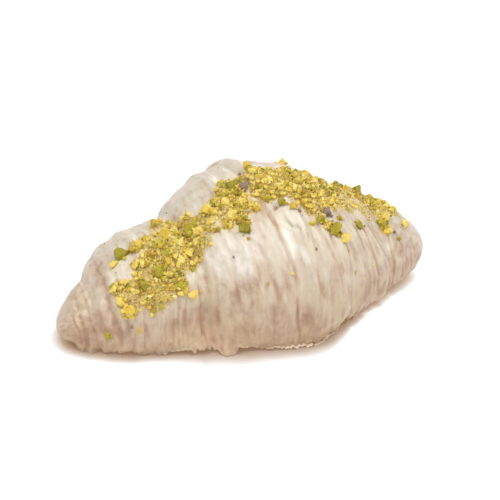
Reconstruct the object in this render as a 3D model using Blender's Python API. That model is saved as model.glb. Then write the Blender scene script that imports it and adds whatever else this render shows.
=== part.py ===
"""A croissant coated in white icing and strewn with chopped pistachios.

Metres.  X runs along the croissant to its right tip, -Y is its front and Z is up.  The
origin lies on the table under the middle of the croissant.  A place on its surface is
given by two numbers: how far along X it is, and the angle around the croissant, which is
0 at the widest line of the front, 90 degrees on the crest and 180 degrees at the back.
"""
import math
import random
from collections import namedtuple

import bmesh
import bpy
import numpy as np
from mathutils import Matrix, Vector

OBJECT_NAME = "croissant"
TINY = 1e-6

CRUST_COLOR = (0.42, 0.22, 0.09)
CRUST_ROUGHNESS = 0.6
ICING_COLOR = (0.78, 0.70, 0.58)
ICING_ROUGHNESS = 0.35

# Overall sizes
HALF_LENGTH = 0.077
WIDENESS = 1.08            # half the width of a section, as a share of its wraps' radius
TALLNESS = 0.95            # its height above the widest line, as a share of that radius
ARCH_FULLNESS = 2.1        # 2 is an ellipse, and more is squarer

# The widest line of a section lies low at both tips and higher in the middle, and the
# horns bend a little to the front.
MIDDLE_HEIGHT = 0.017
LEFT_TIP_HEIGHT = 0.006
RIGHT_TIP_HEIGHT = 0.0118
LEFT_TIP_BEND = 0.006
RIGHT_TIP_BEND = 0.005

# The dough is rolled up, so each wrap is a barrel that covers the middle of the last one.
# Its edges lean, which puts them further along at the front than at the back.
Wrap = namedtuple("Wrap", "left crown right left_lean right_lean radius fullness corner")
WRAPS = (
    Wrap(-0.077, -0.038, 0.010, 0, 0, 0.0175, 1.95, 2.0),            # left horn
    Wrap(-0.010, 0.030, 0.077, 0, 0, 0.0290, 1.15, 2.0),             # right horn
    Wrap(-0.066, -0.040, 0.000, 0, 0, 0.0242, 2.4, 2.8),             # second turn, left
    Wrap(0.000, 0.028, 0.043, 0, 0.011, 0.0315, 3.5, 3.5),           # second turn, right
    Wrap(-0.031, 0.010, 0.044, 0.004, 0.008, 0.0382, 2.2, 2.8),      # last full turn
    Wrap(-0.003, 0.007, 0.016, 0.008, 0.011, 0.0405, 2.2, 3.0),      # tongue on top
)
CREASE_SOFTNESS = 0.0006

# Low folds that run round the dough, further along at the front than at the back:
# distance between them, height and phase in turns
Fold = namedtuple("Fold", "spacing height phase")
FOLDS = (
    Fold(0.0112, 0.00035, 0.15),
    Fold(0.0071, 0.00025, 0.60),
)
FOLD_LEAN = 0.003

# Outline of the foot on the table: three swellings, of which the widest one counts
Foot = namedtuple("Foot", "left crown right half_width fullness corner")
FEET = (
    Foot(-0.077, -0.020, 0.010, 0.032, 1.3, 1.1),
    Foot(-0.045, 0.011, 0.042, 0.0385, 2.3, 1.5),
    Foot(-0.010, 0.020, 0.077, 0.034, 1.0, 1.0),
)
LEAST_FOOT = 0.12          # as a share of the section's half width
FOOT_INSET = 1.5           # the crust's foot lies this much further in than its sides
GREATEST_FLARE = 0.005     # of the foot beyond the widest line
SKIRT_TURN = math.radians(45)

# The icing is a coat over the crust.  Its ragged lower lip stays clear of the table.
ICING = 0.0020
GAP = 0.0003
LIP_CLEARANCE = 0.0009
LIP_FLARE = 0.0010
RAGS = (
    Fold(0.0093, 0.00030, 0.20),
    Fold(0.0041, 0.00020, 0.70),
)
BACK_RAG_PHASE = 0.4
CUTTER_DEPTH = 0.005

# Meshes: columns run from tip to tip, and rings go round
ICING_COLUMNS = 32
ICING_RINGS = 76
PASTRY_COLUMNS = 24
PASTRY_RINGS = 54
RING_SPREAD = math.radians(63)   # more makes the rings closer together at the tips

# Chopped pistachios
NUT_COUNT = 105
NUT_RADIUS = (0.0010, 0.0017)
NUT_SINK = 0.0007
NUT_SPACING = 0.9          # least distance between two, as a share of their radii's sum
NUT_JITTER = 0.22
NUT_SEED = 11
NUT_TRIES = 4000
SLOPE_STEP = 0.0005        # how far apart the points are that give the icing's slope
# The nuts lie in heaps: along, around in degrees, and radius
Heap = namedtuple("Heap", "along around radius")
HEAPS = (
    Heap(-0.053, 27, 0.0028),
    Heap(-0.046, 45, 0.0024),
    Heap(-0.045, 82, 0.0024),
    Heap(-0.041, 84, 0.0024),
    Heap(-0.044, 56, 0.0036),
    Heap(-0.041, 40, 0.0038),
    Heap(-0.039, 48, 0.0036),
    Heap(-0.041, 62, 0.0036),
    Heap(-0.038, 71, 0.0036),
    Heap(-0.035, 63, 0.0036),
    Heap(-0.033, 78, 0.0048),
    Heap(-0.03, 69, 0.0038),
    Heap(-0.03, 58, 0.0040),
    Heap(-0.032, 31, 0.0024),
    Heap(-0.024, 53, 0.0028),
    Heap(-0.027, 80, 0.0042),
    Heap(-0.029, 92, 0.0030),
    Heap(-0.033, 100, 0.0026),
    Heap(-0.028, 96, 0.0024),
    Heap(-0.024, 70, 0.0042),
    Heap(-0.024, 87, 0.0034),
    Heap(-0.02, 76, 0.0038),
    Heap(-0.016, 78, 0.0034),
    Heap(-0.013, 81, 0.0030),
    Heap(-0.023, 63, 0.0028),
    Heap(-0.011, 74, 0.0034),
    Heap(-0.009, 66, 0.0036),
    Heap(-0.006, 62, 0.0026),
    Heap(-0.008, 78, 0.0040),
    Heap(-0.008, 87, 0.0030),
    Heap(-0.005, 91, 0.0030),
    Heap(-0.004, 82, 0.0040),
    Heap(-0.004, 73, 0.0036),
    Heap(-0.001, 69, 0.0026),
    Heap(0.001, 88, 0.0034),
    Heap(0.005, 93, 0.0024),
    Heap(0.005, 80, 0.0034),
    Heap(0.006, 89, 0.0030),
    Heap(0.01, 82, 0.0034),
    Heap(0.011, 91, 0.0034),
    Heap(0.013, 73, 0.0034),
    Heap(0.004, 76, 0.0026),
    Heap(0.015, 85, 0.0046),
    Heap(0.017, 92, 0.0036),
    Heap(0.022, 91, 0.0038),
    Heap(0.02, 80, 0.0046),
    Heap(0.019, 70, 0.0030),
    Heap(0.026, 86, 0.0044),
    Heap(0.025, 73, 0.0044),
    Heap(0.0195, 66, 0.0026),
    Heap(0.024, 64, 0.0026),
    Heap(0.026, 62, 0.0028),
    Heap(0.031, 78, 0.0044),
    Heap(0.031, 88, 0.0034),
    Heap(0.03, 67, 0.0034),
    Heap(0.035, 83, 0.0030),
    Heap(0.04, 86, 0.0024),
    Heap(0.045, 92, 0.0028),
    Heap(0.048, 93, 0.0032),
    Heap(0.051, 86, 0.0034),
    Heap(0.054, 87, 0.0036),
    Heap(0.058, 88, 0.0036),
    Heap(0.062, 92, 0.0030),
    Heap(0.063, 86, 0.0026),
    Heap(0.054, 55, 0.0024),
)
HEAP_CORE = 0.9            # the share of a heap's radius within which the nuts' middles lie
MEAN_RADIUS = 0.032        # of the croissant's sections where the heaps lie
# The pieces that stand out: along, around in degrees, and radius
Nut = namedtuple("Nut", "along around radius")
LARGE_NUTS = (
    Nut(-0.0503, 80, 0.0022),
    Nut(-0.0535, 76, 0.0014),
    Nut(-0.0455, 79, 0.0014),
    Nut(-0.0428, 81, 0.0016),
    Nut(-0.0397, 87, 0.0013),
    Nut(-0.0465, 64, 0.0014),
    Nut(-0.056, 51, 0.0014),
    Nut(-0.0547, 38, 0.0017),
    Nut(-0.052, 25, 0.0019),
    Nut(-0.0535, 30, 0.0012),
    Nut(-0.0455, 44, 0.0016),
    Nut(-0.0391, 47, 0.0022),
    Nut(-0.0365, 51, 0.0014),
    Nut(-0.032, 31, 0.0016),
    Nut(-0.0327, 24, 0.0011),
    Nut(-0.0284, 19, 0.0017),
    Nut(-0.0302, 53, 0.0014),
    Nut(-0.0348, 55, 0.0014),
    Nut(-0.0406, 66, 0.0014),
    Nut(-0.0323, 81, 0.0021),
    Nut(-0.036, 75, 0.0015),
    Nut(-0.033, 101, 0.0018),
    Nut(-0.0281, 97, 0.0014),
    Nut(-0.0225, 78, 0.0021),
    Nut(-0.0161, 80, 0.0020),
    Nut(-0.0238, 49, 0.0011),
    Nut(-0.0225, 64, 0.0014),
    Nut(-0.009, 66, 0.0020),
    Nut(-0.0066, 56, 0.0020),
    Nut(-0.0038, 73, 0.0019),
    Nut(-0.0094, 77, 0.0016),
    Nut(-0.0035, 88, 0.0022),
    Nut(-0.0075, 84, 0.0016),
    Nut(-0.0078, 94, 0.0010),
    Nut(0.0048, 79, 0.0015),
    Nut(0.0048, 92, 0.0014),
    Nut(0.0057, 71, 0.0016),
    Nut(0.0094, 66, 0.0014),
    Nut(0.0127, 62, 0.0014),
    Nut(0.0124, 89, 0.0012),
    Nut(0.0225, 111, 0.0015),
    Nut(0.021, 96, 0.0011),
    Nut(0.0228, 83, 0.0014),
    Nut(0.0293, 79, 0.0014),
    Nut(0.0228, 53, 0.0014),
    Nut(0.0268, 46, 0.0023),
    Nut(0.0295, 39, 0.0020),
    Nut(0.0311, 54, 0.0010),
    Nut(0.0394, 49, 0.0014),
    Nut(0.0425, 101, 0.0017),
    Nut(0.049, 98, 0.0025),
    Nut(0.0553, 63, 0.0018),
    Nut(0.0526, 54, 0.0019),
    Nut(0.0544, 46, 0.0014),
    Nut(0.062, 98, 0.0014),
    Nut(0.0633, 86, 0.0015),
    Nut(0.0514, 83, 0.0014),
    Nut(0.057, 88, 0.0014),
    Nut(0.0654, 61, 0.0012),
    Nut(-0.061, 2, 0.0012),
    Nut(-0.0005, 84, 0.0016),
    Nut(0.0015, 88, 0.0012),
    Nut(0.0259, 57, 0.0016),
    Nut(0.0207, 75, 0.0011),
)


def clear_scene():
    for obj in list(bpy.data.objects):
        bpy.data.objects.remove(obj, do_unlink=True)


def new_collection(name):
    collection = bpy.data.collections.new(name)
    bpy.context.scene.collection.children.link(collection)
    return collection


def plain_material(name, color, roughness):
    material = bpy.data.materials.new(name)
    material.use_nodes = True
    shader = material.node_tree.nodes["Principled BSDF"]
    shader.inputs["Base Color"].default_value = (*color, 1)
    shader.inputs["Roughness"].default_value = roughness
    shader.inputs["Metallic"].default_value = 0
    return material


def swell(along, left, crown, right, fullness, corner):
    """Rise from 0 at the left end to 1 at the crown, and fall to 0 at the right end."""
    reach = np.where(along < crown, crown - left, right - crown)
    away = np.clip(np.abs(along - crown) / reach, 0, 1)
    return (1 - away ** fullness) ** (1 / corner)


def wrap_radius(wrap, along, around, inset):
    front = np.cos(around)
    left = wrap.left + wrap.left_lean * front + inset
    right = wrap.right + wrap.right_lean * front - inset
    crown = wrap.crown + (wrap.left_lean + wrap.right_lean) / 2 * front
    return (wrap.radius - inset) * swell(along, left, crown, right, wrap.fullness, wrap.corner)


def rounded_largest(radii, softness):
    """The largest of the radii, with the creases where they cross rounded off."""
    largest = radii.max(axis=0)
    excess = np.exp((radii - largest) / softness).sum(axis=0)
    return largest + softness * np.log(excess)


def waves(folds, along):
    """The sum of the folds' waves."""
    height = np.zeros_like(along)
    for fold in folds:
        height += fold.height * np.sin(2 * math.pi * (along / fold.spacing + fold.phase))
    return height


def fold_height(along, around):
    """Height of the low folds, which die out towards the tips."""
    leaned = along - FOLD_LEAN * np.cos(around)
    return waves(FOLDS, leaned) * (1 - (along / HALF_LENGTH) ** 4)


def section_radius(along, around, inset):
    radii = np.stack([wrap_radius(wrap, along, around, inset) for wrap in WRAPS])
    radius = rounded_largest(radii, CREASE_SOFTNESS) + fold_height(along, around)
    tip = np.abs(along) >= HALF_LENGTH - inset - TINY
    return np.where(tip, 0, radius)


def widest_line(along):
    """Y and Z of the axis through the widest points of the sections."""
    far = (along / HALF_LENGTH) ** 2
    tip_height = np.where(along < 0, LEFT_TIP_HEIGHT, RIGHT_TIP_HEIGHT)
    bend = np.where(along < 0, LEFT_TIP_BEND, RIGHT_TIP_BEND)
    return -bend * far, tip_height + (MIDDLE_HEIGHT - tip_height) * (1 - far)


def foot_half_width(along, half_width, inset):
    swellings = []
    for foot in FEET:
        reach = (foot.left + inset, foot.crown, foot.right - inset)
        swellings.append(foot.half_width * swell(along, *reach, foot.fullness, foot.corner))
    foot_line = np.max(swellings, axis=0) - FOOT_INSET * inset
    return np.clip(foot_line, LEAST_FOOT * half_width, half_width + GREATEST_FLARE)


def croissant_surface(along, around, inset, underside, flare):
    """Points on the dough's outside, moved in by the inset.

    Each section is an arch over a skirt, which curves down to a flat foot.  The underside
    is the foot's height, and the flare widens the foot.
    """
    arch = np.clip(around, 0, math.pi)
    radius = section_radius(along, arch, inset)
    middle_y, middle_z = widest_line(along)
    half_width = radius * WIDENESS
    height = radius * TALLNESS
    power = 2 / ARCH_FULLNESS
    front = np.sign(np.cos(arch)) * np.abs(np.cos(arch)) ** power
    y = half_width * front
    z = middle_z + height * np.abs(np.sin(arch)) ** power

    below = np.maximum(-around, around - math.pi)
    turn = np.clip(below / SKIRT_TURN, 0, 1) * math.pi / 2
    inwards = np.clip((below - SKIRT_TURN) / (math.pi / 2 - SKIRT_TURN), 0, 1)
    foot = foot_half_width(along, half_width, inset) + flare * np.clip(height / middle_z, 0, 1)
    bottom = np.maximum(middle_z - height, underside)
    skirt_y = (foot + (half_width - foot) * np.cos(turn)) * (1 - inwards)
    skirt_z = bottom + (middle_z - bottom) * (1 - np.sin(turn))
    y = np.where(below > 0, np.sign(math.pi / 2 - around) * skirt_y, y)
    z = np.where(below > 0, skirt_z, z)
    return np.stack([along, middle_y - y, z], axis=-1)


def ragged_lip(along, around):
    """Height of the icing's lower lip over the table."""
    shift = np.where(around < math.pi / 2, 0, BACK_RAG_PHASE * RAGS[0].spacing)
    return LIP_CLEARANCE + waves(RAGS, along + shift)


def moulded_ball(name, columns, rings, half_length, shape):
    """A ball with its poles at the two tips, each of its points moved to where shape says."""
    ball = bmesh.new()
    bmesh.ops.create_uvsphere(ball, u_segments=columns, v_segments=rings, radius=1)
    unit = np.array([vert.co[:] for vert in ball.verts])
    lengthwise = 1 - 2 * np.arccos(np.clip(unit[:, 2], -1, 1)) / math.pi
    along = half_length * np.sin(RING_SPREAD * lengthwise) / math.sin(RING_SPREAD)
    azimuth = np.arctan2(unit[:, 1], unit[:, 0])
    around = np.where(azimuth < -math.pi / 2 - TINY, azimuth + 2 * math.pi, azimuth)
    for vert, point in zip(ball.verts, shape(along, around)):
        vert.co = point
    bmesh.ops.reverse_faces(ball, faces=ball.faces)   # the moves also mirror the ball
    bmesh.ops.triangulate(ball, faces=ball.faces, quad_method="FIXED")
    mesh = bpy.data.meshes.new(name)
    ball.to_mesh(mesh)
    ball.free()
    mesh.shade_smooth()
    return bpy.data.objects.new(name, mesh)


def make_pastry():
    inset = ICING + GAP

    def shape(along, around):
        return croissant_surface(along, around, inset, 0, 0)

    return moulded_ball("pastry", PASTRY_COLUMNS, PASTRY_RINGS, HALF_LENGTH - inset, shape)


def make_coat():
    """The icing's outside, as a solid down to its lip."""

    def shape(along, around):
        return croissant_surface(along, around, 0, ragged_lip(along, around), LIP_FLARE)

    return moulded_ball("icing", ICING_COLUMNS, ICING_RINGS, HALF_LENGTH, shape)


def make_hollow():
    """What the icing is hollowed by: the pastry with a gap round it, open to below."""
    inset = ICING + GAP

    def shape(along, around):
        points = croissant_surface(along, around, inset, 0, 0)
        below = np.maximum(-around, around - math.pi)
        points[:, 2] = np.where(below > SKIRT_TURN + TINY, -CUTTER_DEPTH, points[:, 2])
        return points

    hollow = moulded_ball("icing_hollow", PASTRY_COLUMNS, PASTRY_RINGS, HALF_LENGTH - inset, shape)
    gap = hollow.modifiers.new("Gap", "DISPLACE")
    gap.mid_level = 0
    gap.strength = GAP
    return hollow


def icing_point(along, around):
    points = croissant_surface(np.array([along]), np.array([around]), 0, 0, 0)
    return Vector(points[0])


def icing_frame(along, around):
    """A point on the icing, and the direction that points out of it."""
    here = icing_point(along, around)
    lengthwise = icing_point(along + SLOPE_STEP, around) - here
    sideways = icing_point(along, around + SLOPE_STEP / MIDDLE_HEIGHT) - here
    return here, lengthwise.cross(sideways).normalized()


def place_in_heap(draw):
    """A random place on one of the heaps, which are chosen more often the wider they are."""
    heap = draw.choices(HEAPS, weights=[heap.radius ** 2 for heap in HEAPS])[0]
    away = heap.radius * HEAP_CORE * math.sqrt(draw.random())
    bearing = draw.uniform(0, 2 * math.pi)
    around = math.radians(heap.around) + away * math.sin(bearing) / MEAN_RADIUS
    return heap.along + away * math.cos(bearing), around


def is_clear(spot, radius, placed):
    """Whether a nut there would stay apart from the nuts already placed."""
    for other, other_radius in placed:
        if (spot - other).length < NUT_SPACING * (radius + other_radius):
            return False
    return True


def strewn_nuts():
    """Place, outward direction and radius of every nut: the large ones, then the rest."""
    draw = random.Random(NUT_SEED)
    wanted = [(nut.along, math.radians(nut.around), nut.radius) for nut in LARGE_NUTS]
    for _ in range(NUT_TRIES):
        wanted.append((*place_in_heap(draw), draw.uniform(*NUT_RADIUS)))
    placed = []
    nuts = []
    for along, around, radius in wanted:
        spot, outwards = icing_frame(along, around)
        if len(nuts) < NUT_COUNT and is_clear(spot, radius, placed):
            placed.append((spot, radius))
            nuts.append((spot, outwards, radius))
    return nuts


def make_nut(name, spot, outwards, radius, draw):
    """A chopped piece: an uneven lump with flat faces, partly sunk in the icing."""
    lump = bmesh.new()
    bmesh.ops.create_icosphere(lump, subdivisions=1, radius=radius)
    for vert in lump.verts:
        vert.co *= 1 + draw.uniform(-NUT_JITTER, NUT_JITTER)
    mesh = bpy.data.meshes.new(name)
    lump.to_mesh(mesh)
    lump.free()
    nut = bpy.data.objects.new(name, mesh)
    upright = outwards.to_track_quat("Z", "Y").to_matrix().to_4x4()
    spin = Matrix.Rotation(draw.uniform(0, 2 * math.pi), 4, "Z")
    centre = spot + outwards * (radius - NUT_SINK)
    nut.matrix_world = Matrix.Translation(centre) @ upright @ spin
    return nut


def make_nuts(collection):
    draw = random.Random(NUT_SEED + 1)
    for number, (spot, outwards, radius) in enumerate(strewn_nuts()):
        collection.objects.link(make_nut(f"nut_{number}", spot, outwards, radius, draw))


def add_boolean(obj, operation, cutter=None, collection=None):
    boolean = obj.modifiers.new(operation.title(), "BOOLEAN")
    boolean.operation = operation
    if collection:
        boolean.operand_type = "COLLECTION"
        boolean.collection = collection
    else:
        boolean.object = cutter


def apply_modifiers(obj):
    """Give the object its finished mesh, and take the modifiers off."""
    shape = obj.evaluated_get(bpy.context.evaluated_depsgraph_get())
    mesh = bpy.data.meshes.new_from_object(shape)
    obj.modifiers.clear()
    obj.data = mesh


def remove_collection(collection):
    for obj in list(collection.objects):
        bpy.data.objects.remove(obj, do_unlink=True)
    bpy.data.collections.remove(collection)


def make_icing(parts, cutters):
    icing = make_coat()
    parts.objects.link(icing)
    hollow = make_hollow()
    hollow.hide_render = True
    hollow.display_type = "WIRE"
    cutters.objects.link(hollow)
    add_boolean(icing, "DIFFERENCE", cutter=hollow)
    nuts = new_collection("nuts")
    make_nuts(nuts)
    add_boolean(icing, "UNION", collection=nuts)
    apply_modifiers(icing)
    remove_collection(nuts)
    return icing


def main():
    clear_scene()
    parts = new_collection(OBJECT_NAME)
    cutters = new_collection("cutters")
    pastry = make_pastry()
    parts.objects.link(pastry)
    pastry.data.materials.append(plain_material("baked_crust", CRUST_COLOR, CRUST_ROUGHNESS))
    icing = make_icing(parts, cutters)
    icing.data.materials.clear()
    icing.data.materials.append(plain_material("white_icing", ICING_COLOR, ICING_ROUGHNESS))


main()
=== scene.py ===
"""An iced croissant strewn with chopped pistachios, on a pale table in soft light.

Metres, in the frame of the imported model: X runs along the croissant to its right tip, -Y
is its front and Z is up.  A place on the croissant is given by two numbers: how far along
X it is, and the angle around it, which is 0 at the widest line of the front, 90 degrees
on the crest and 180 degrees at the back.
"""
import math
import random
from collections import namedtuple

import bmesh
import bpy
import numpy as np
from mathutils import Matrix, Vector, noise


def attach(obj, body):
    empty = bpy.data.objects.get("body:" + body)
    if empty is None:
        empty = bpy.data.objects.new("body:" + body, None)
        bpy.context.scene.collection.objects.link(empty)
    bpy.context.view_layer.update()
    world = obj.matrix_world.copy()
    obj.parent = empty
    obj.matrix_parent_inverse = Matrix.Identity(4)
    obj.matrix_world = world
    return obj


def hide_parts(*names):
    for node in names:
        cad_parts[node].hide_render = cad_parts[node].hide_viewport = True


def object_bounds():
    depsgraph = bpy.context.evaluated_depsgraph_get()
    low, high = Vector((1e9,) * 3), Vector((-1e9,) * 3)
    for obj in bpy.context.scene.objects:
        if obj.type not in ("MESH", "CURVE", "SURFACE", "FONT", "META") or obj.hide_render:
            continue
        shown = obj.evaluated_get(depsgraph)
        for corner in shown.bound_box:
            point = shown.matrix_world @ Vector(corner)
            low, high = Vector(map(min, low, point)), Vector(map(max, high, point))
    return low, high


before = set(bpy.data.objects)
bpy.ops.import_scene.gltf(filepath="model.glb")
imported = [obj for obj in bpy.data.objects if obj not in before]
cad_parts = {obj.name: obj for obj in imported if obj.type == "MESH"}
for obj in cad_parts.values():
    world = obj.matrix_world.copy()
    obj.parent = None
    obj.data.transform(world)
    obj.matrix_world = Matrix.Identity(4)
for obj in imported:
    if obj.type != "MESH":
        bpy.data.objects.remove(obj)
CAD_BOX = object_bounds()
BODY = "root"
MM = 0.001
TINY = 1e-6
TINIEST = 1e-12


def rows(kind, values):
    """A table's rows as named tuples of a kind."""
    return tuple(kind(*row) for row in values)


# ---------------------------------------------------------------- the croissant's form
# These values and the functions below them are the solid part's own.
HALF_LENGTH = 0.077
WIDENESS = 1.08
TALLNESS = 0.95
ARCH_FULLNESS = 2.1
MIDDLE_HEIGHT = 0.017
LEFT_TIP_HEIGHT = 0.006
RIGHT_TIP_HEIGHT = 0.0118
LEFT_TIP_BEND = 0.006
RIGHT_TIP_BEND = 0.005

Wrap = namedtuple("Wrap", "left crown right left_lean right_lean radius fullness corner")
WRAPS = (
    Wrap(-0.077, -0.038, 0.010, 0, 0, 0.0175, 1.95, 2.0),            # left horn
    Wrap(-0.010, 0.030, 0.077, 0, 0, 0.0290, 1.15, 2.0),             # right horn
    Wrap(-0.066, -0.040, 0.000, 0, 0, 0.0242, 2.4, 2.8),             # second turn, left
    Wrap(0.000, 0.028, 0.043, 0, 0.011, 0.0315, 3.5, 3.5),           # second turn, right
    Wrap(-0.031, 0.010, 0.044, 0.004, 0.008, 0.0382, 2.2, 2.8),      # last full turn
    Wrap(-0.003, 0.007, 0.016, 0.008, 0.011, 0.0405, 2.2, 3.0),      # tongue on top
)
CREASE_SOFTNESS = 0.0006

Fold = namedtuple("Fold", "spacing height phase")
FOLDS = (
    Fold(0.0112, 0.00035, 0.15),
    Fold(0.0071, 0.00025, 0.60),
)
FOLD_LEAN = 0.003

Foot = namedtuple("Foot", "left crown right half_width fullness corner")
FEET = (
    Foot(-0.077, -0.020, 0.010, 0.032, 1.3, 1.1),
    Foot(-0.045, 0.011, 0.042, 0.0385, 2.3, 1.5),
    Foot(-0.010, 0.020, 0.077, 0.034, 1.0, 1.0),
)
LEAST_FOOT = 0.12
FOOT_INSET = 1.5
GREATEST_FLARE = 0.005
SKIRT_TURN = math.radians(45)

ICING = 0.0020
GAP = 0.0003
RING_SPREAD = math.radians(63)

NUT_COUNT = 105
NUT_RADIUS = (0.0010, 0.0017)
NUT_SINK = 0.0007
NUT_SPACING = 0.9
NUT_SEED = 11
NUT_TRIES = 4000
SLOPE_STEP = 0.0005
HEAP_CORE = 0.9
MEAN_RADIUS = 0.032
CREST_RADIUS_MM = 30
THICK_HEAP = 0.7
WIDE_HEAP_MM = 2.4
LARGE_PIECE_MM = 1.0

# ---------------------------------------------------------------- the icing's fine relief
COAT_RINGS = 420
COAT_COLUMNS = 226
# Ridges run round the croissant: width in mm, how far they carry round, height in mm
Ridge = namedtuple("Ridge", "width turns height")
RIDGES = (
    Ridge(4.4, 2.2, 0.36),
    Ridge(2.3, 3.6, 0.19),
    Ridge(1.1, 7.0, 0.05),
)
# How strong the ridges are, and how many mm they lean to the right at the front
Spread = namedtuple("Spread", "along strength lean")
RIDGE_SPREAD = rows(Spread, (
    (-77, 0.15, 2), (-70, 0.25, 2), (-56, 0.45, 2), (-48, 0.5, 1), (-30, 0.6, 0), (-10, 0.6, 2),
    (10, 0.6, 5), (24, 0.9, 7), (36, 1, 8), (54, 0.8, 8), (62, 0.4, 5), (77, 0.3, 2),
))
# Ridges wander and fade: by how much, or their middle and swing, over how many mm along
# and how often per radian
RIDGE_WANDER_MM = 1.5
RIDGE_WANDER_SIZE = (14, 1.3)
RIDGE_FADE = (0.7, 1.2)
RIDGE_FADE_SIZE = (8, 3)
RIDGE_FADE_LIMITS = (0.15, 1.3)
RIDGE_ROUNDNESS = 0.8
LUMP_SIZE_MM = 9.0
LUMP_HEIGHT_MM = 0.40
PUCKER_SIZE_MM = 2.6
PUCKER_HEIGHT_MM = 0.21
GRAIN_SIZE_MM = 1.1
GRAIN_HEIGHT_MM = 0.05
COAT_INSET_MM = 0.25
SPARE = 0.00005
HEAP_HEIGHT_MM = 0.4
CLUMP_SIZE_MM = 3.2
CLUMP_HEIGHT_MM = 1.0

# Creases between folds: their path as along in mm and around in degrees, from the top
# down, and their depth and half width in mm
Crease = namedtuple("Crease", "path depth width")
CREASES = rows(Crease, (
    (((-72, 60), (-70, 0), (-69, -42)), 0.35, 0.50),
    (((-69, 110), (-69, 43), (-67, -40)), 0.45, 0.60),
    (((-66, 120), (-66, 24), (-63, -42)), 0.45, 0.55),
    (((-63, 100), (-63, 25), (-60, -40)), 0.35, 0.50),
    (((-59, 120), (-59, 75), (-59, 33), (-56, -10)), 0.70, 1.10),
    (((-55, 60), (-54, 20), (-52, -30)), 0.35, 0.70), (((-47, 24), (-48, -20)), 0.45, 0.50),
    (((-41, 30), (-42, -40)), 0.35, 0.60), (((-34, 24), (-35, -30)), 0.50, 0.45),
    (((-31, 20), (-33, -20)), 0.40, 0.50), (((-25, 40), (-25, 5), (-26, -38)), 0.50, 0.50),
    (((-20, 45), (-20, 0), (-19, -30)), 0.35, 0.60),
    (((-14, 50), (-13, 15), (-12, -20)), 0.40, 0.80),
    (((-6, 52), (-3, 43), (-1, 30), (0, 12)), 0.55, 0.80),
    (((2, 75), (4, 64), (5, 49), (6, 39), (8, 28)), 0.65, 0.80),
    (((8, 15), (8, -5), (9, -25)), 0.50, 0.60),
    (((8, 56), (10, 51), (13, 48), (17, 46)), 0.65, 0.60),
    (((16, 50), (14, 40), (14, 30)), 0.30, 0.80), (((15, 25), (17, 5), (19, -20)), 0.30, 0.80),
    (((20, 58), (23, 40), (26, 20), (27, -28)), 0.45, 0.50),
    (((25, 40), (28, 14), (31, -10)), 0.50, 0.50),
    (((31, 40), (31, 20), (30, 5), (31, -15)), 0.40, 0.45),
    (((36, 66), (38, 45), (39, 20), (40, -5)), 0.40, 0.45),
    (((38, 72), (41, 50), (43, 30), (44, 5)), 0.55, 0.50),
    (((54, 40), (55, 15), (56, -15)), 0.45, 0.45), (((59, 30), (60, 0), (61, -25)), 0.30, 0.60),
    (((65, 25), (66, 5), (66, -15)), 0.25, 0.50),
))
# Creases wander and break: by how much, or their middle and swing, over how many mm along
# and how many degrees around
CREASE_WANDER_MM = 0.5
CREASE_WANDER_SIZE = (6, 25)
CREASE_PRESENCE = (0.75, 1.1)
CREASE_PRESENCE_SIZE = (5, 12)
CREASE_PRESENCE_LIMITS = (0.2, 1.1)
# Degrees over which a crease fades in at its upper or lower end, outside and inside it
LOWER_FADE = 10
UPPER_FADE = 12
INNER_FADE = 3
# Where a crease's shoulders and an edge's bead and groove lie, in half widths, and how
# high they are as a share of its depth
SHOULDER_PLACE = 2
SHOULDER_HEIGHT = 0.4
BEAD_PLACE = 1.3
BEAD_HEIGHT = 0.7
EDGE_GROOVE_PLACE = 0.6
# The edges where one wrap ends over another, and how high they stand in mm
EDGES = rows(Crease, (
    (((38, 70), (40, 63), (43, 55), (45, 42), (49, 23), (51, 12), (53, -12)), 1, 0.60),
    (((-64, 130), (-65, 85), (-64, 55)), 0.45, 0.80),
    (((14, 78), (18, 60), (21, 44), (24, 28)), 0.40, 0.90),
))
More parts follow.
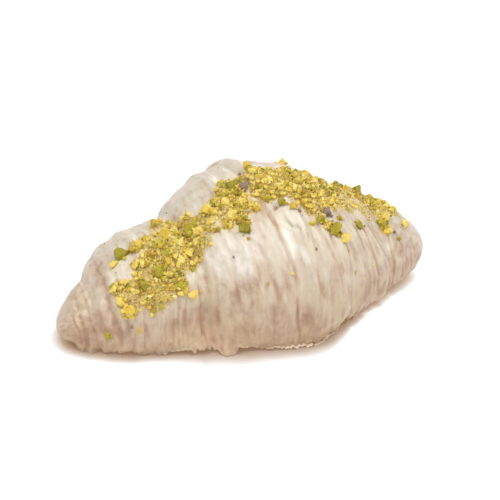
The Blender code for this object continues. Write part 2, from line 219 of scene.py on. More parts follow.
# Places where the icing is thin and the crust shows, or thick and white; some are painted shade
# towards the ends and painted highlights across the upper middle: along in mm, around in
# degrees, half lengths in mm and degrees, and strength, below 0 where it is thick
Patch = namedtuple("Patch", "along around long high strength")
PATCHES = rows(Patch, (
    (2, 68, 2.6, 8, 0.8), (5, 47, 1.5, 14, 0.5), (-2, 40, 1.3, 12, 0.5), (-6, 27, 1.4, 8, 0.5),
    (-8, 19, 1.8, 6, 0.5), (-14, 15, 2.2, 9, 0.6), (5, 22, 3.5, 9, 0.5), (1, -11, 4, 14, 0.55),
    (8, -3, 1, 12, 0.6), (12, -8, 3, 7, 0.7), (16, 17, 2.2, 9, 0.6), (19, -14, 2.5, 6, 0.7),
    (-11, -14, 4, 8, 0.5), (-25, -10, 1, 24, 0.55), (-31, -12, 1.5, 12, 0.35),
    (-37, 0, 1.5, 16, 0.5), (-47, 2, 1.5, 16, 0.4), (-56, 6, 2, 7, 0.4), (34, 33, 2.6, 8, 0.6),
    (38, -1, 2.2, 8, 1), (13, 44, 2.5, 5, 0.4), (64, 55, 2.5, 8, 0.6), (72, -5, 2, 10, 0.6),
    (-64, 20, 9, 40, 0.1), (-3, 5, 10, 14, 0.1), (48, 40, 16, 30, 0.25), (-62, 5, 12, 40, 0.25),
    (62, 10, 12, 45, 0.3), (46, 0, 8, 40, 0.2), (-18, 46, 5, 9, -0.4), (-13, 36, 4, 8, -0.4),
    (0, 60, 2.5, 7, 0.6), (-2, 20, 4, 20, 0.3), (-72, 25, 5, 30, 0.3), (-4, 33, 2, 7, 0.4),
    (18, 56, 4, 8, -0.4), (13, 65, 8, 7, -0.5), (24, 61, 5, 7, -0.4), (-37, 22, 4, 8, 0.3),
    (0, 38, 14, 16, -0.5), (-22, 8, 5, 14, -0.3), (13, 28, 3, 12, -0.4), (25, 55, 4, 8, -0.6),
    (-27, 35, 4, 12, -0.3), (24, -15, 6, 12, -0.3), (52, -5, 4, 10, -0.4),
    (-8, 43, 3.5, 14, -0.6), (8, 38, 2.4, 12, -0.4), (10, 58, 3, 8, -0.35),
    (-18, 38, 3, 14, -0.5), (-26, 40, 2.2, 8, -0.8), (-55, 60, 2.4, 7, -0.8),
    (-61, 46, 1.4, 5, -0.8), (14, 9, 2, 10, -0.6), (3, 10, 1, 3, -0.9), (-22, -8, 1.4, 4, -0.6),
    (-17, 4, 1.2, 8, -0.5), (53, 28, 2, 5, -0.8),
))
# Where the icing has filled a crease of the dough, the strength being a height in mm
FILLS = (
    Patch(-8, 124, 5, 20, 1.1),
)
# The lip's raggedness: size along the lip and height or reach in mm, and the places in the
# noise where it is read for each side
Rag = namedtuple("Rag", "size height side level")
SCALLOPS = Rag(2.4, 2.0, 5.0, 0.5)
SCALLOP_BASE_MM = 0.45
JAGS = Rag(0.9, 0.6, 9.0, 4.5)
REACH_RAGS = (Rag(1.6, 0.7, 3.0, 8.5), Rag(0.8, 0.5, 7.0, 2.5))
LIP_LOWEST = 0.0002
# The lip is turned in over this many columns, and rounded by a share of the way
LIP_TUCK = 8
LIP_ROUNDING = 0.4
# The relief fades out within these metres of a tip and, by a share, near the lip.  A band
# is given in degrees below the widest line
TIP_CALM = (0, 0.006)
CALM_SHARE = 0.8
CALM_BAND = (25, 45)
# Under the tips the front's and the back's lips run together
TIP_CLOSED_MM = (70.5, 73.5)
CLOSED_BAND = (10, 40)
# The lip's edge stands out from the wall: along and reach in mm, most at the right
FLANGES_MM = ((-77, 0.3), (-4, 0.3), (8, 1.8), (27, 1.9), (32, 3.5), (38, 4.2), (46, 4.4),
              (53, 2.8), (60, 0.3), (77, 0.3))
FLANGE_BAND = (38, 45)
FLANGE_END = 0.072
# The edge gets a painted highlight where it reaches out this far
LIT_REACH_MM = (0.3, 1.8)
LIT_BAND = (40, 43)
# The rim is greyed with painted shade, less so where its edge has the painted highlight, and no
# longer near the right tip
RIM_BAND = (26, 44)
RIM_LIT_LOSS = 0.6
RIM_END_MM = (60, 70)
# Sines over which a place counts as low, and the angle in radians from which they stay
LOW_SINES = (-0.9, 0.5)
LOWEST_ANGLE = 1.5
# The left horn is given more of the low, browner tone than its height gives, as painted shade
SHADED_LEFT_MM = (50, 68)
SHADED_LEFT_SHARE = 0.5
# How much thinner the icing is taken to be in grooves, partly as painted crease shade, and how
# much thicker on ridges, for each mm
GROOVE_THINNING_AND_SHADE = 0.5
RIDGE_THICKENING = 0.45
# Runs of icing that hang below the lip: along and reach outwards in mm, and width in mm
Drip = namedtuple("Drip", "along reach width")
DRIPS = rows(Drip, (
    (-18.4, 2.8, 4.4), (-15.4, 1.5, 2.4), (-22.5, 0.6, 1.2), (-30, 1.1, 1.6), (-43, 0.8, 1.4),
    (-48, 0.6, 1.2), (-57, 0.6, 1.5), (-61, 1, 4), (-68.5, 1.6, 9), (12.5, 0.5, 3.4),
    (17, 0.6, 5), (32.5, 1, 1.8), (35.5, 0.9, 1.2), (41, 1, 1.4), (46.5, 0.8, 1.2),
    (51, 0.8, 1.4),
))
# How far the lip stands off the table, and how far outwards it reaches, in mm
Lip = namedtuple("Lip", "along rise reach")
LIPS = rows(Lip, (
    (-77, 1.2, 0), (-72, 0.5, 1.2), (-68, 0.4, 2.4), (-60, 0.5, 2.4), (-42, 0.5, 2.2),
    (-35, 1.1, 1), (-29, 1.9, 0.8), (-24, 1.5, 1.5), (-12, 2, 0.8), (-8, 1.8, 0.8), (0, 1.2, 1),
    (6, 0.7, 1.2), (15, 0.6, 1.3), (21, 0.9, 0.9), (26.5, 1, 1.1), (28.5, 2, 0.2),
    (30.5, 1.7, 0.3), (33, 0.9, 1), (39, 1.5, 0.6), (44, 1.8, 0.4), (52, 0.9, 1.4),
    (62, 0.8, 2.2), (69, 1.2, 0.8), (77, 1.8, 0),
))
# How far a drip falls for each mm that it reaches outwards
DRIP_FALL = 1.3

# ---------------------------------------------------------------- the baked crust
CRUST_RINGS = 220
CRUST_COLUMNS = 140
CRUST_LAYER_SIZES_MM = (20, 1.6, 5)
CRUST_RELIEF_MM = 0.12

# ---------------------------------------------------------------- the strewn nuts
# Chopped kinds: how many, smallest and largest radius in mm, how much the small sizes
# outnumber the large ones, how closely they keep to the thick of the heaps and how far
# they stray from them
Kind = namedtuple("Kind", "name count smallest largest smallness closeness stray seed")
GOLDEN = Kind("pistachio_kernel", 1850, 0.33, 1.05, 2.3, 1.5, 0.0015, 21)
GREEN = Kind("pistachio_green", 420, 0.33, 1.10, 1.8, 1.5, 0.0015, 22)
SKIN = Kind("pistachio_skin", 120, 0.14, 0.45, 1.6, 1.2, 0.015, 23)
MEAL = Kind("pistachio_meal", 23500, 0.13, 0.36, 1.3, 0.9, 0.003, 24)
# Heaps of nuts: along in mm, around in degrees, radius in mm and how thick they lie
Heap = namedtuple("Heap", "along around radius thickness")
HEAPS = rows(Heap, (
    (-53, 27, 2.8, 1), (-54, 39, 1.8, 0.8), (-55, 52, 2.2, 0.8), (-50, 33, 2.4, 0.6),
    (-50, 45, 3, 0.5), (-51.7, 49, 2.4, 0.65), (-46, 45, 2.4, 0.9), (-46, 65, 2, 0.8),
    (-45, 82, 2.4, 0.8), (-41, 84, 2.4, 0.7), (-44, 56, 3.6, 0.7), (-41, 40, 3.8, 0.75),
    (-44, 29, 3.6, 0.65), (-46, 33, 2.4, 0.6), (-39, 23, 2.4, 0.3), (-39, 31, 3, 0.5),
    (-36, 36, 3, 0.5), (-33.6, 42, 2.4, 0.6), (-39, 48, 3.6, 1), (-41, 62, 3.6, 0.85),
    (-38, 71, 3.6, 0.9), (-35, 63, 3.6, 0.9), (-33, 78, 4.8, 1), (-30, 69, 3.8, 0.9),
    (-30, 58, 4, 0.9), (-33, 48, 3, 0.55), (-32, 31, 2.4, 0.9), (-28, 46, 3, 0.45),
    (-24, 53, 2.8, 0.8), (-27, 80, 4.2, 1), (-29, 92, 3, 0.8), (-33, 100, 2.6, 0.8),
    (-28, 96, 2.4, 0.8), (-24, 70, 4.2, 1), (-24, 87, 3.4, 0.9), (-20, 76, 3.8, 1),
    (-16, 78, 3.4, 1), (-13, 81, 3, 0.9), (-15, 68, 3.4, 0.35), (-23, 63, 2.8, 0.8),
    (-20, 61, 3, 0.45), (-11, 74, 3.4, 1), (-9, 66, 3.6, 1), (-6, 62, 2.6, 0.7), (-8, 78, 4, 1),
    (-8, 87, 3, 0.9), (-5, 91, 3, 0.9), (-4, 82, 4, 1), (-4, 73, 3.6, 1), (-1, 69, 2.6, 0.9),
    (1, 88, 3.4, 0.9), (5, 93, 2.4, 0.8), (5, 80, 3.4, 0.9), (6, 89, 3, 0.7), (10, 82, 3.4, 0.9),
    (11, 91, 3.4, 0.8), (8, 74, 3.6, 0.6), (13, 73, 3.4, 0.7), (4, 76, 2.6, 0.8),
    (15, 85, 4.6, 1), (17, 92, 3.6, 0.9), (22, 91, 3.8, 0.9), (20, 80, 4.6, 1), (19, 70, 3, 0.9),
    (26, 86, 4.4, 1), (25, 73, 4.4, 1), (19.5, 66, 2.6, 0.9), (20.5, 61, 2.2, 0.9),
    (22.5, 55, 1.8, 0.9), (24.5, 50, 1.6, 0.8), (24, 64, 2.6, 0.9), (26, 62, 2.8, 0.9),
    (31, 78, 4.4, 1), (31, 88, 3.4, 0.9), (30, 67, 3.4, 0.9), (35, 83, 3, 0.9), (35, 70, 4, 0.5),
    (38, 65, 3, 0.35), (44, 72, 4, 0.3), (51, 74, 3.6, 0.3), (40, 86, 2.4, 0.9),
    (45, 92, 2.8, 0.9), (48, 93, 3.2, 1), (51, 86, 3.4, 0.9), (54, 87, 3.6, 0.9),
    (58, 88, 3.6, 0.9), (62, 92, 3, 0.9), (63, 86, 2.6, 0.9), (59, 78, 3.4, 0.35),
    (55, 64, 2.3, 1), (54, 55, 2.4, 1), (54, 48, 1.5, 0.8), (66, 64, 1.6, 0.45),
    (40, 51, 1.5, 0.6), (47, 62, 3, 0.12), (-43, 22, 3.4, 0.2), (-61, 2, 1.2, 0.3),
    (-50, 4, 1.4, 0.3),
))
# Pieces set one by one: along in mm, around in degrees, radius in mm
Piece = namedtuple("Piece", "along around radius")
PIECES = {
    "golden": rows(Piece, (
        (-53.5, 76, 1.4), (-45.5, 79, 1.4), (-42.8, 81, 1.6), (-46.5, 64, 1.4), (-56, 51, 1.4),
        (-54.7, 38, 1.7), (-52, 25, 1.9), (-53.5, 30, 1.2), (-32.7, 24, 1.1), (-28.4, 19, 1.7),
        (-30.2, 53, 1.4), (-34.8, 55, 1.4), (-40.6, 66, 1.4), (-32.3, 81, 2.1), (-33, 101, 1.8),
        (-16.1, 80, 2), (-23.8, 49, 1.1), (-22.5, 64, 1.4), (-9, 66, 2), (-3.8, 73, 1.9),
        (-9.4, 77, 1.6), (-7.5, 84, 1.6), (4.8, 92, 1.4), (12.7, 62, 1.4), (22.5, 111, 1.5),
        (29.5, 39, 2), (31.1, 54, 1), (55.3, 63, 1.8), (54.4, 46, 1.4), (63.3, 86, 1.5),
        (51.4, 83, 1.4), (57, 88, 1.4), (65.4, 61, 1.2), (-50, 4, 0.8),
    )),
    "green": rows(Piece, (
        (-50.3, 80, 2.2), (-39.7, 87, 1.3), (-45.5, 44, 1.6), (-39.1, 47, 2.2), (-36.5, 51, 1.4),
        (-32, 31, 1.6), (-36, 75, 1.5), (-28.1, 97, 1.4), (-22.5, 78, 2.1), (-14.9, 63, 0.9),
        (-6.6, 56, 2), (-3.5, 88, 2.2), (-7.8, 94, 1), (4.8, 79, 1.5), (5.7, 71, 1.6),
        (9.4, 66, 1.4), (12.4, 89, 1.2), (21, 96, 1.1), (22.8, 83, 1.4), (29.3, 79, 1.4),
        (22.8, 53, 1.4), (26.8, 46, 2.3), (39.4, 49, 1.4), (42.5, 101, 1.7), (49, 98, 2.5),
        (52.6, 54, 1.9), (62, 98, 1.4), (-61, 2, 1.2), (59.6, 38, 0.7), (-2.5, 20, 0.4),
    )),
    "skin": rows(Piece, (
        (-0.5, 84, 1.6), (1.5, 88, 1.2), (25.9, 57, 1.6), (20.7, 75, 1.1), (14.6, 59, 0.9),
        (6.9, 64, 0.6), (1.1, 96, 0.5), (-31.4, 42, 0.5), (-25.9, 49, 0.7), (-23.1, 51, 0.5),
        (-52.5, 9, 0.5), (16.5, 36, 0.5), (58, 46, 0.5), (-15.5, 63, 0.6),
    )),
}
# How far nuts and their dust reach from a heap's middle, how far they lie at their thickest
# and how ragged its edge is, as shares of its radius
NUT_REACH = 1.5
DUST_REACH = 1.8
HEAP_FLAT = 0.55
HEAP_WOBBLE = 0.5
HEAP_WOBBLE_SIZE_MM = 2.5
# Where nuts are strewn, along in mm and around in degrees, and how high they pile up.
# Fewer tries are kept where the section is smaller than the widest radius
STREWN_ALONG_MM = (-66, 72)
STREWN_AROUND = (12, 135)
TRIES_PER_NUT = 30
WIDEST_RADIUS = 0.040
PILE_MM = 1.1
# A chopped piece: how many cuts it has and how far from its middle, how rough and how flat
# it is, all as shares of its radius
CHUNK_SHAPES = 24
CHUNK_CUTS = 9
CUT_DISTANCE = (0.42, 0.8)
CHUNK_ROUGHNESS = 0.06
CHUNK_WIDTH = (0.75, 1)
CHUNK_HEIGHT = (0.65, 0.95)
# How far its middle stands over the icing and how deep it sinks in, as shares of its radius
CHUNK_STANDING = 0.62
CHUNK_SINKING = 0.3
MEAN_TONE = 0.45
TONE_SPREAD = 0.38
# Smaller pieces that lie against one of those set one by one: how many, and their distance, its
# spread, their size and how high they lie, as shares of the large one's radius
SATELLITES = 9
SATELLITE_DISTANCE = 0.9
SATELLITE_SPREAD = 0.7
SATELLITE_SHARE = (0.15, 0.4)
SATELLITE_LIFT = 0.3
SATELLITE_SEED = 5
# One in so many of the nuts fused to the solid is green
GREEN_EVERY = 4
# How finely a piece's ball is divided, where 0 stands for a plain double pyramid
LARGE_DIVISIONS = 3
SMALL_DIVISIONS = 2
MEAL_DIVISIONS = 0
LARGE_SEED_STEP = 20
SMALL_SEED_STEP = 50

# ---------------------------------------------------------------- the picture
CAMERA_AZIMUTH = math.radians(-20)
CAMERA_ELEVATION = math.radians(33)
CAMERA_DISTANCE = 0.470
CAMERA_LENS_MM = 85
AIM = Vector((0.0036, 0, 0.0205))
# Soft boxes round the table: bearing from the front to the right and height over the
# table in degrees, and power in watts
Lamp = namedtuple("Lamp", "name bearing height power")
LAMPS = (
    Lamp("left_softbox", -70, 55, 3.5),
    Lamp("right_softbox", 40, 55, 4.1),
    Lamp("top_softbox", 0, 90, 2.2),
    Lamp("back_softbox", 155, 25, 1.6),
)
LAMP_DISTANCE = 0.93
LAMP_SIZE = 0.5
# The sky is white from the table's edge up to a first height and dim over a second one,
# as the sine of their angles
SKY = ((0.10, 0.95), (0.19, 0.06))
TABLE_SIZE = 40
# The paper is dark grey and glows white, as painted light; the contact shadow is painted into
# its glow
PAPER = "5A5A5A"
GLOW_STRENGTH = 1.0


def linear(value):
    """One sRGB channel, from 0 to 1, turned to linear light."""
    return value / 12.92 if value <= 0.04045 else ((value + 0.055) / 1.055) ** 2.4


def color(code):
    """A linear colour with alpha from an sRGB hex code."""
    channels = [int(code[start:start + 2], 16) / 255 for start in (0, 2, 4)]
    return (*[linear(channel) for channel in channels], 1)


WHITE = (1, 1, 1, 1)
# The glow's colours by how open the paper is, from the painted brown shadow to white
SHADOW = ((0.60, color("8E6E53")), (0.77, color("B39A82")), (0.87, color("DACDC2")),
          (0.945, color("FAFAFA")))
# The painted shadow's depth, as a share of the deepest, and its reach in mm at places along the
# croissant: it is painted deeper and wider under the middle
Shade = namedtuple("Shade", "along depth reach")
SHADES = rows(Shade, (
    (-77, 0.38, 7), (-69, 0.66, 7), (-62, 0.5, 6), (-58, 0.45, 6), (-46, 0.5, 6),
    (-37, 0.8, 8.5), (-28, 1, 15), (-18, 0.9, 14), (-6, 0.65, 11), (12, 0.6, 10), (24, 0.55, 7),
    (34, 0.46, 4.5), (46, 0.40, 4), (58, 0.36, 4.5), (77, 0.3, 5.5),
))


# ---------------------------------------------------------------- the solid's functions
def swell(along, left, crown, right, fullness, corner):
    """Rise from 0 at the left end to 1 at the crown, and fall to 0 at the right end."""
    reach = np.where(along < crown, crown - left, right - crown)
    away = np.clip(np.abs(along - crown) / reach, 0, 1)
    return (1 - away ** fullness) ** (1 / corner)


def wrap_radius(wrap, along, around, inset):
    front = np.cos(around)
    left = wrap.left + wrap.left_lean * front + inset
    right = wrap.right + wrap.right_lean * front - inset
    crown = wrap.crown + (wrap.left_lean + wrap.right_lean) / 2 * front
    return (wrap.radius - inset) * swell(along, left, crown, right, wrap.fullness, wrap.corner)


def rounded_largest(radii, softness):
    """The largest of the radii, with the creases where they cross rounded off."""
    largest = radii.max(axis=0)
    excess = np.exp((radii - largest) / softness).sum(axis=0)
    return largest + softness * np.log(excess)


def fold_height(along, around):
    """Height of the low folds, which die out towards the tips."""
    leaned = along - FOLD_LEAN * np.cos(around)
    height = np.zeros_like(leaned)
    for fold in FOLDS:
        height += fold.height * np.sin(2 * math.pi * (leaned / fold.spacing + fold.phase))
    return height * (1 - (along / HALF_LENGTH) ** 4)


def section_radius(along, around, inset):
    radii = np.stack([wrap_radius(wrap, along, around, inset) for wrap in WRAPS])
    radius = rounded_largest(radii, CREASE_SOFTNESS) + fold_height(along, around)
    tip = np.abs(along) >= HALF_LENGTH - inset - TINY
    return np.where(tip, 0, radius)


def widest_line(along):
    """Y and Z of the axis through the widest points of the sections."""
    far = (along / HALF_LENGTH) ** 2
    tip_height = np.where(along < 0, LEFT_TIP_HEIGHT, RIGHT_TIP_HEIGHT)
    bend = np.where(along < 0, LEFT_TIP_BEND, RIGHT_TIP_BEND)
    return -bend * far, tip_height + (MIDDLE_HEIGHT - tip_height) * (1 - far)


def foot_half_width(along, half_width, inset):
    swellings = []
    for foot in FEET:
        reach = (foot.left + inset, foot.crown, foot.right - inset)
        swellings.append(foot.half_width * swell(along, *reach, foot.fullness, foot.corner))
    foot_line = np.max(swellings, axis=0) - FOOT_INSET * inset
    return np.clip(foot_line, LEAST_FOOT * half_width, half_width + GREATEST_FLARE)


def croissant_surface(along, around, inset=0, underside=0, flare=0):
    """Points on the dough's outside, moved in by the inset.

    Each section is an arch over a skirt, which curves down to a flat foot.  The underside
    is the foot's height, and the flare widens the foot.
    """
    arch = np.clip(around, 0, math.pi)
    radius = section_radius(along, arch, inset)
    middle_y, middle_z = widest_line(along)
    half_width = radius * WIDENESS
    height = radius * TALLNESS
    power = 2 / ARCH_FULLNESS
    front = np.sign(np.cos(arch)) * np.abs(np.cos(arch)) ** power
    y = half_width * front
    z = middle_z + height * np.abs(np.sin(arch)) ** power

    below = np.maximum(-around, around - math.pi)
    turn = np.clip(below / SKIRT_TURN, 0, 1) * math.pi / 2
    inwards = np.clip((below - SKIRT_TURN) / (math.pi / 2 - SKIRT_TURN), 0, 1)
    foot = foot_half_width(along, half_width, inset) + flare * np.clip(height / middle_z, 0, 1)
    bottom = np.maximum(middle_z - height, underside)
    skirt_y = (foot + (half_width - foot) * np.cos(turn)) * (1 - inwards)
    skirt_z = bottom + (middle_z - bottom) * (1 - np.sin(turn))
    y = np.where(below > 0, np.sign(math.pi / 2 - around) * skirt_y, y)
    z = np.where(below > 0, skirt_z, z)
    return np.stack([along, middle_y - y, z], axis=-1)


def lengthwise_places(count, half_length):
    """Places along the croissant, closer together towards the tips."""
    lengthwise = np.linspace(-1, 1, count)
    return half_length * np.sin(RING_SPREAD * lengthwise) / math.sin(RING_SPREAD)


def smooth_step(value, low, high):
    share = np.clip((value - low) / (high - low), 0, 1)
    return share * share * (3 - 2 * share)


def noise_at(x, y, z):
    """Smooth noise of about -1 to 1 at arrays of places.

    A shift or a last number of its own keeps one noise apart from another.
    """
    x, y, z = np.broadcast_arrays(x, y, z)
    places = zip(x.ravel().tolist(), y.ravel().tolist(), z.ravel().tolist())
    return np.array([noise.noise(place) for place in places]).reshape(x.shape)


def noise_on(points, size, shift=0.0):
    """Noise at points in metres, for features of a size in mm or of three sizes."""
    return noise_at(*np.moveaxis(points / MM / np.array(size) + shift, -1, 0))


def interpolated(table, column, along_mm):
    """A column of a table of places along the croissant, at the places between them."""
    places = [row.along for row in table]
    return np.interp(along_mm, places, [getattr(row, column) for row in table])


# ---------------------------------------------------------------- the icing's relief
def across_crease(crease, along_mm, degrees):
    """Distance from a crease in half widths, and how present it is at each place."""
    alongs, arounds = zip(*sorted(crease.path, key=lambda place: place[1]))
    away = (along_mm - np.interp(degrees, arounds, alongs)) / crease.width
    start = smooth_step(degrees, arounds[0] - LOWER_FADE, arounds[0] + INNER_FADE)
    end = 1 - smooth_step(degrees, arounds[-1] - INNER_FADE, arounds[-1] + UPPER_FADE)
    return away, start * end


def crease_relief(along_mm, degrees):
    """Grooves with soft shoulders, in mm, and how much of a groove each place is."""
    relief = np.zeros_like(along_mm)
    grooves = np.zeros_like(along_mm)
    long, high = CREASE_WANDER_SIZE
    wander = CREASE_WANDER_MM * noise_at(along_mm / long, degrees / high, 80.0)
    long, high = CREASE_PRESENCE_SIZE
    middle, swing = CREASE_PRESENCE
    broken = middle + swing * noise_at(along_mm / long, degrees / high, 90.0)
    broken = np.clip(broken, *CREASE_PRESENCE_LIMITS)
    for crease in CREASES:
        away, presence = across_crease(crease, along_mm + wander, degrees)
        presence = presence * broken
        groove = bump_at(away, 0) * presence
        shoulders = (bump_at(away, -SHOULDER_PLACE) + bump_at(away, SHOULDER_PLACE)) * presence
        relief += crease.depth * (SHOULDER_HEIGHT * shoulders - groove)
        grooves += crease.depth * groove
    for edge in EDGES:
        away, presence = across_crease(edge, along_mm, degrees)
        bead = bump_at(away, -BEAD_PLACE) * presence
        groove = bump_at(away, EDGE_GROOVE_PLACE) * presence
        relief += edge.depth * (BEAD_HEIGHT * bead - groove)
        grooves += edge.depth * groove
    return relief, grooves


def bump_at(away, place):
    """A soft bump of height 1 at a place across a crease."""
    return np.exp(-(away - place) ** 2)


def leaned_along(along_mm, around):
    """Along in mm, shifted so that it is the same all the way down a ridge."""
    return along_mm - interpolated(RIDGE_SPREAD, "lean", along_mm) * np.cos(around)


def ridge_relief(along_mm, around):
    """Rounded ridges round the croissant with narrow grooves between them, in mm."""
    leaned = leaned_along(along_mm, around)
    long, turns = RIDGE_WANDER_SIZE
    wander = RIDGE_WANDER_MM * noise_at(leaned / long, around * turns, 3.0)
    long, turns = RIDGE_FADE_SIZE
    middle, swing = RIDGE_FADE
    height = np.zeros_like(along_mm)
    for number, ridge in enumerate(RIDGES):
        wave = noise_at((leaned + wander) / ridge.width, around * ridge.turns, 10.0 * number)
        fade = middle + swing * noise_at(leaned / long, around * turns, 30.0 + number)
        rounded = np.minimum(np.abs(wave) * 2, 1) ** RIDGE_ROUNDNESS - 0.5
        height += ridge.height * np.clip(fade, *RIDGE_FADE_LIMITS) * rounded
    return height * interpolated(RIDGE_SPREAD, "strength", along_mm)


def patch_strength(patches, along_mm, degrees):
    """The sum of soft patches' strengths at each place."""
    strength = np.zeros_like(along_mm)
    for patch in patches:
        away = ((along_mm - patch.along) / patch.long) ** 2
        away += ((degrees - patch.around) / patch.high) ** 2
        strength += patch.strength * np.exp(-away)
    return strength


def lump_relief(points):
    """Soft unevenness of icing that has run and set, in mm."""
    lumps = noise_on(points, LUMP_SIZE_MM)
    puckers = noise_on(points, PUCKER_SIZE_MM, shift=40)
    grains = noise_on(points, GRAIN_SIZE_MM, shift=90)
    return LUMP_HEIGHT_MM * lumps + PUCKER_HEIGHT_MM * puckers + GRAIN_HEIGHT_MM * grains


def rag_noise(rag, along_mm, side):
    """Noise along the lip, of which the front and the back have their own."""
    return noise_at(along_mm / rag.size, side * rag.side, rag.level)


def lip_heights(along, around):
    """Height of the ragged lip over the table, and its reach outwards."""
    side = np.where(around < math.pi / 2, 1.0, -1.0)
    along_mm = along / MM
    scallops = SCALLOPS.height * np.abs(rag_noise(SCALLOPS, along_mm, side)) - SCALLOP_BASE_MM
    jagged = scallops + JAGS.height * rag_noise(JAGS, along_mm, side)
    lip = interpolated(LIPS, "rise", along_mm) + jagged
    reach = interpolated(LIPS, "reach", along_mm)
    for rag in REACH_RAGS:
        reach += rag.height * rag_noise(rag, along_mm, side)
    for drip in DRIPS:
        hang = np.exp(-((along_mm - drip.along) / (drip.width / 2)) ** 4) * (side > 0)
        reach = reach + drip.reach * hang
        lip = lip - drip.reach * hang * DRIP_FALL
    return np.maximum(lip * MM, LIP_LOWEST), reach * MM


def degrees_below(around):
    """How far a place is below the widest line, in degrees."""
    return np.degrees(np.maximum(-around, around - math.pi))


def icing_relief(points, along, around):
    """How far the icing stands out in mm, and how much of a groove each place is."""
    along_mm = along / MM
    creases, grooves = crease_relief(along_mm, np.degrees(around))
    relief = ridge_relief(along_mm, around) + creases + lump_relief(points)
    calm = smooth_step(HALF_LENGTH - np.abs(along), *TIP_CALM)
    calm = calm * (1 - CALM_SHARE * smooth_step(degrees_below(around), *CALM_BAND))
    return (relief - COAT_INSET_MM) * calm, grooves


def shape_lip(points, along, around):
    """Moves the lip out from the wall and closes the tips, and gives the share of painted
    highlight on its edge.
    """
    along_mm = along / MM
    below = degrees_below(around)
    front = around < math.pi / 2
    reach = np.where(front, np.interp(along_mm, *zip(*FLANGES_MM)), FLANGES_MM[0][1])
    flange = smooth_step(below, *FLANGE_BAND) * reach * MM
    points[..., 1] -= np.where(front, 1, -1) * flange * (np.abs(along) < FLANGE_END)
    closed = smooth_step(np.abs(along_mm), *TIP_CLOSED_MM) * smooth_step(below, *CLOSED_BAND)
    points[..., 1] += closed * (widest_line(along)[0] - points[..., 1])
    points[..., 1] = np.clip(points[..., 1], CAD_BOX[0][1] + SPARE, CAD_BOX[1][1] - SPARE)
    return smooth_step(reach, *LIT_REACH_MM)


def coat_surface(along, around):
    """The icing's outside, and what its material reads at each place of it."""
    along_mm = along / MM
    degrees = np.degrees(around)
    points = croissant_surface(along, around, 0, *lip_heights(along, around))
    relief, grooves = icing_relief(points, along, around)
    heaps = heap_thickness(croissant_surface(along, around))
    clumps = HEAP_HEIGHT_MM * heaps + clump_height(points, heaps)
    height = relief + clumps + patch_strength(FILLS, along_mm, degrees)
    outside = points + outward_directions(along, around) * (height * MM)[..., None]
    bright = shape_lip(outside, along, around)
    thin_and_shade = GROOVE_THINNING_AND_SHADE * grooves - RIDGE_THICKENING * relief
    return outside, {
        "thin_and_shade": thin_and_shade + patch_strength(PATCHES, along_mm, degrees),
        "low": lowness_and_shade(along_mm, around),
        # Painted shade greys the rim, and a painted highlight brightens the lip's edge
        "rim": rim_painted_shade(along_mm, around, bright),
        "lit": bright * smooth_step(degrees_below(around), *LIT_BAND),
        "dust": heap_thickness(outside, DUST_REACH),
        "flow": leaned_along(along_mm, around),
        "wound": CREST_RADIUS_MM * around,
    }


def lowness_and_shade(along_mm, around):
    """How low a place is, from 0 at the crest to 1 at the lip, raised on the left horn as
    painted shade.
    """
    turn = np.clip(around, -LOWEST_ANGLE, math.pi + LOWEST_ANGLE)
    low = smooth_step(-np.sin(turn), *LOW_SINES)
    return np.clip(low + SHADED_LEFT_SHARE * smooth_step(-along_mm, *SHADED_LEFT_MM), 0, 1)


def rim_painted_shade(along_mm, around, bright):
    """How much painted shade greys the lip, most at its edge."""
    grey = smooth_step(degrees_below(around), *RIM_BAND) * (1 - RIM_LIT_LOSS * bright)
    return grey * (1 - smooth_step(along_mm, *RIM_END_MM))


def outward_directions(along, around):
    """Unit directions that point out of the smooth surface."""
    here = croissant_surface(along, around)
    inner = np.clip(along, -HALF_LENGTH + 2 * SLOPE_STEP, HALF_LENGTH - 2 * SLOPE_STEP)
    after = croissant_surface(inner + SLOPE_STEP, around)
    before = croissant_surface(inner - SLOPE_STEP, around)
    turn = SLOPE_STEP / MIDDLE_HEIGHT
    up = croissant_surface(along, around + turn)
    sideways = up - here
    direction = np.cross(after - before, sideways)
    return direction / np.maximum(np.linalg.norm(direction, axis=-1, keepdims=True), TINIEST)


def grid_mesh(name, points):
    """A sheet through rows of points, whose ends close where the points fall together."""
    rows, columns = points.shape[:2]
    index = np.arange(rows * columns).reshape(rows, columns)
    corners = (index[:-1, :-1], index[1:, :-1], index[1:, 1:], index[:-1, 1:])
    faces = np.stack([corner.ravel() for corner in corners], axis=-1)
    mesh = bpy.data.meshes.new(name)
    mesh.from_pydata(points.reshape(-1, 3).tolist(), [], faces.tolist())
    return mesh


def add_attribute(mesh, name, values):
    layer = mesh.attributes.new(name, "FLOAT", "POINT")
    layer.data.foreach_set("value", np.ravel(values).astype(np.float32))


def weld(mesh, distance=2e-7):
    shape = bmesh.new()
    shape.from_mesh(mesh)
    bmesh.ops.remove_doubles(shape, verts=shape.verts, dist=distance)
    shape.to_mesh(mesh)
    shape.free()
    mesh.shade_smooth()


def new_object(name, data):
    thing = bpy.data.objects.new(name, data)
    bpy.context.scene.collection.objects.link(thing)
    return thing


def new_piece(name, mesh, material):
    piece = new_object(name, mesh)
    mesh.materials.append(material)
    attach(piece, BODY)
    return piece


def turned_in(lip, crust):
    """Rows of points that round the lip off and lead it in to the crust."""
    inner = crust.copy()
    inner[:, 2] = np.maximum(inner[:, 2], lip[:, 2])
    level = inner.copy()
    level[:, 2] = lip[:, 2]
    return [lip * (1 - LIP_ROUNDING) + level * LIP_ROUNDING, level, inner]


